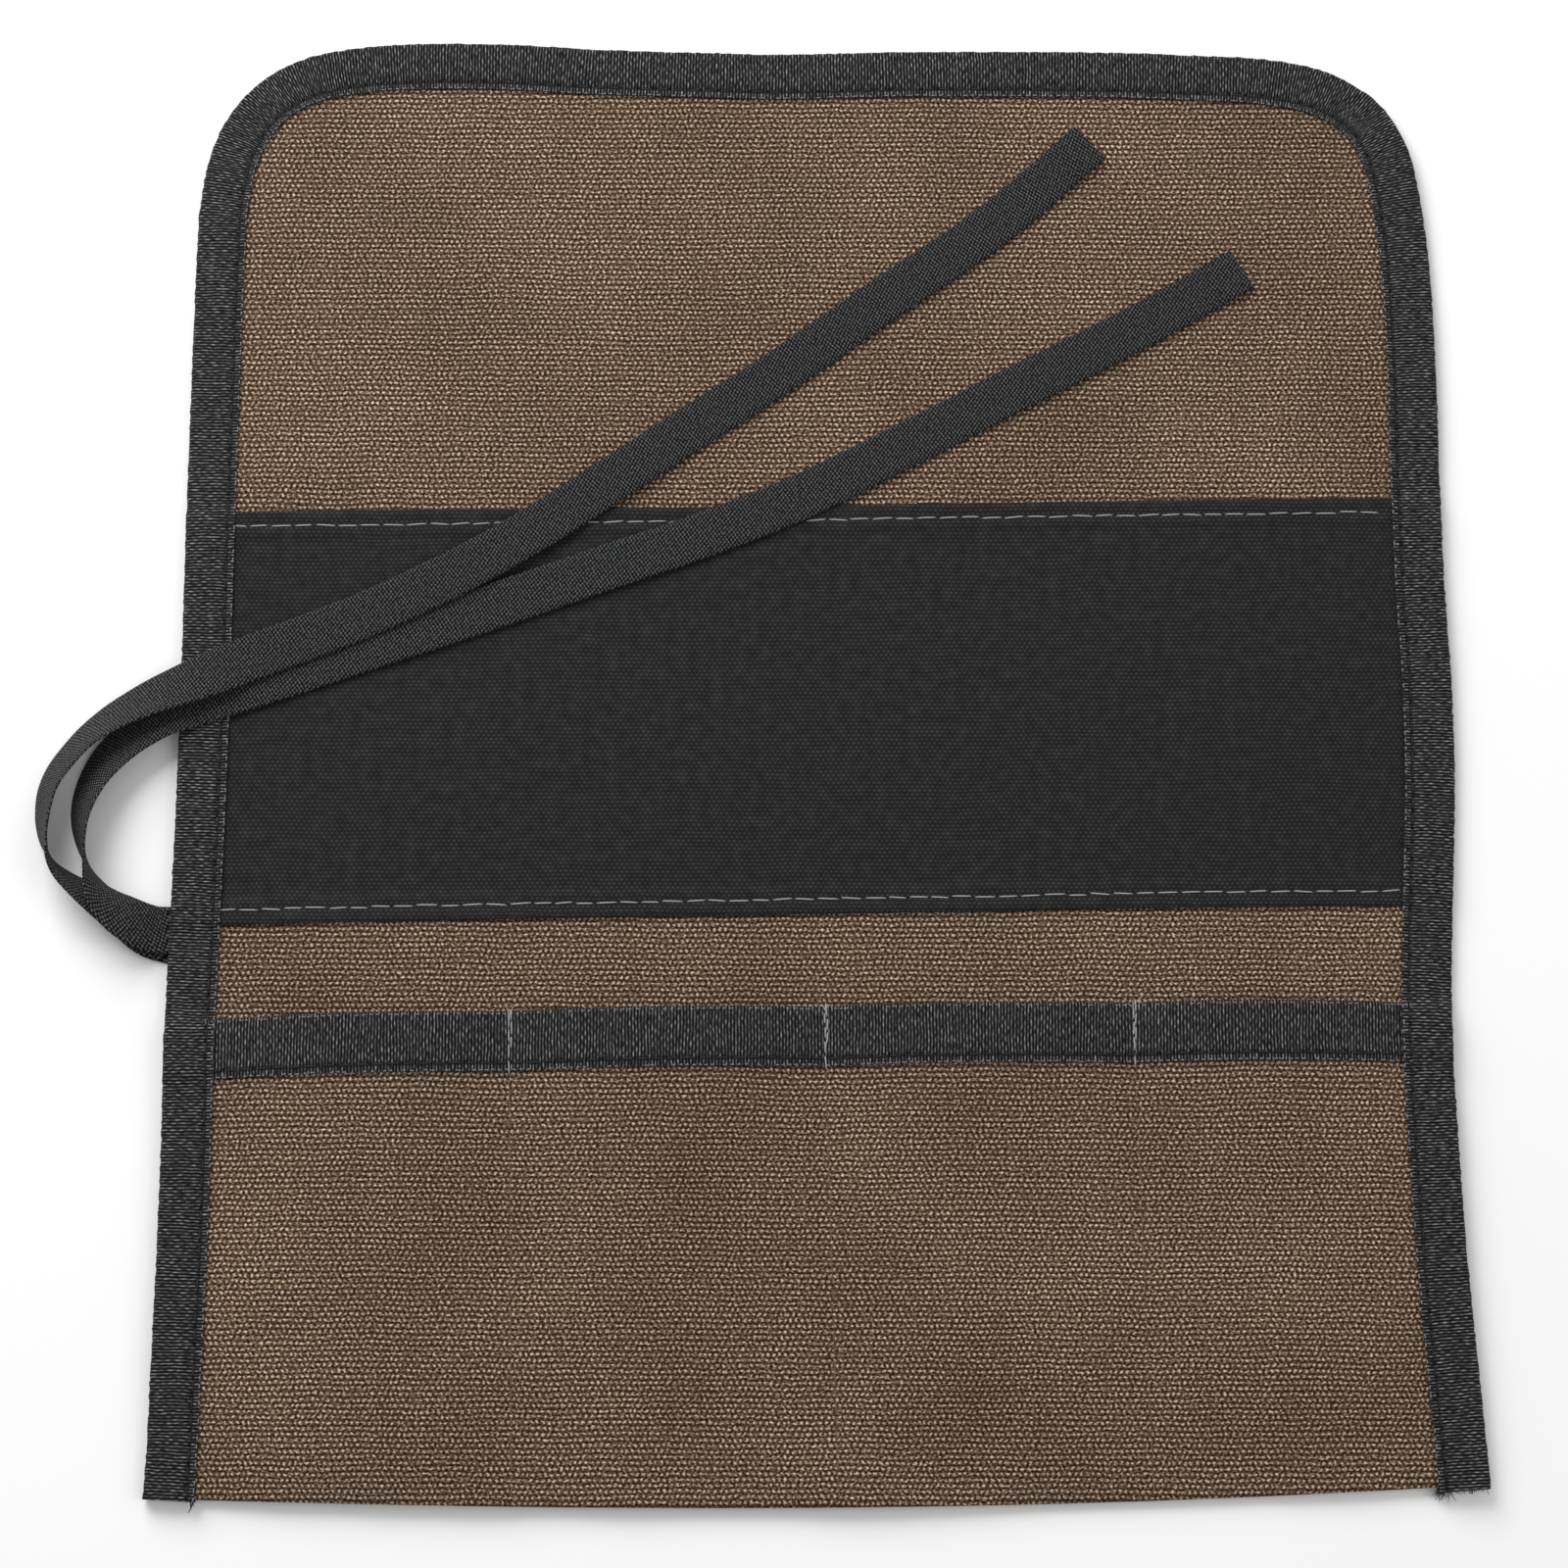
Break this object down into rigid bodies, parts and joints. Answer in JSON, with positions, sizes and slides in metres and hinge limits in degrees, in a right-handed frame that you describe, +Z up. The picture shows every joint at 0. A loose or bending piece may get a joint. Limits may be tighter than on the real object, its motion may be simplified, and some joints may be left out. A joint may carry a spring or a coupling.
{
  "type": "tool roll",
  "caption": "Canvas tool roll lying open: pockets with taped mouths, black guard band, fold-down flap, taped edges and two ties.",
  "frame": {"origin": "under the middle of the open sheet, on the table", "axes": "+Y from the pocket bottoms towards the flap, +Z up, +X to the right with the ties at the left edge"},
  "size_m": [0.3493, 0.366, 0.0123],
  "materials": {
    "canvas": "brown duck canvas, plain weave of thick yarns with light thread tops and dark gaps",
    "guard_cloth": "black oxford cloth, fine horizontal ribs",
    "edge_tape": "black ribbed webbing tape, ribs across its width",
    "tie_tape": "black flat tape in a fine twill",
    "thread": "light grey polyester sewing thread"
  },
  "bodies": {
    "column_1": {"back_canvas_1": "canvas", "guard_panel_1": "guard_cloth", "pocket_front_1": "canvas", "mouth_band_1": "edge_tape", "side_binding_left": "edge_tape", "divider_seam_1": "thread", "tie_upper": "tie_tape", "tie_lower": "tie_tape"},
    "column_2": {"back_canvas_2": "canvas", "guard_panel_2": "guard_cloth", "pocket_front_2": "canvas", "mouth_band_2": "edge_tape", "divider_seam_2": "thread"},
    "column_3": {"back_canvas_3": "canvas", "guard_panel_3": "guard_cloth", "pocket_front_3": "canvas", "mouth_band_3": "edge_tape", "divider_seam_3": "thread"},
    "column_4": {"back_canvas_4": "canvas", "guard_panel_4": "guard_cloth", "pocket_front_4": "canvas", "mouth_band_4": "edge_tape", "side_binding_right": "edge_tape"},
    "flap_1": {"flap_canvas_1": "canvas", "flap_binding_1": "edge_tape"},
    "flap_2": {"flap_canvas_2": "canvas", "flap_binding_2": "edge_tape"},
    "flap_3": {"flap_canvas_3": "canvas", "flap_binding_3": "edge_tape"},
    "flap_4": {"flap_canvas_4": "canvas", "flap_binding_4": "edge_tape"}
  },
  "joints": [
    {"name": "roll_seam_1", "type": "hinge", "parent": "column_1", "child": "column_2", "pos_m": [-0.0725, 0, 0.0016], "axis": [0, -1, 0], "range_deg": [0, 85], "deforming": ["tie_upper", "tie_lower"]},
    {"name": "roll_seam_2", "type": "hinge", "parent": "column_2", "child": "column_3", "pos_m": [0.0029, 0, 0.0016], "axis": [0, -1, 0], "range_deg": [0, 85], "deforming": ["tie_upper", "tie_lower"]},
    {"name": "roll_seam_3", "type": "hinge", "parent": "column_3", "child": "column_4", "pos_m": [0.0783, 0, 0.0016], "axis": [0, -1, 0], "range_deg": [0, 85], "deforming": ["tie_upper", "tie_lower"]},
    {"name": "flap_fold_1", "type": "hinge", "parent": "column_1", "child": "flap_1", "pos_m": [-0.115, 0.068, 0.003], "axis": [1, 0, 0], "range_deg": [0, 180], "deforming": ["tie_upper", "tie_lower"]},
    {"name": "flap_fold_2", "type": "hinge", "parent": "column_2", "child": "flap_2", "pos_m": [-0.0348, 0.068, 0.003], "axis": [1, 0, 0], "range_deg": [0, 180], "deforming": ["tie_upper", "tie_lower"]},
    {"name": "flap_fold_3", "type": "hinge", "parent": "column_3", "child": "flap_3", "pos_m": [0.0406, 0.068, 0.003], "axis": [1, 0, 0], "range_deg": [0, 180], "deforming": ["tie_upper", "tie_lower"]},
    {"name": "flap_fold_4", "type": "hinge", "parent": "column_4", "child": "flap_4", "pos_m": [0.1178, 0.068, 0.003], "axis": [1, 0, 0], "range_deg": [0, 180], "deforming": ["tie_upper", "tie_lower"]}
  ],
  "couplings": [
    {"joint": "roll_seam_2", "follows": "roll_seam_1", "ratio": 1},
    {"joint": "roll_seam_3", "follows": "roll_seam_1", "ratio": 1},
    {"joint": "flap_fold_2", "follows": "flap_fold_1", "ratio": 1},
    {"joint": "flap_fold_3", "follows": "flap_fold_1", "ratio": 1},
    {"joint": "flap_fold_4", "follows": "flap_fold_1", "ratio": 1}
  ]
}
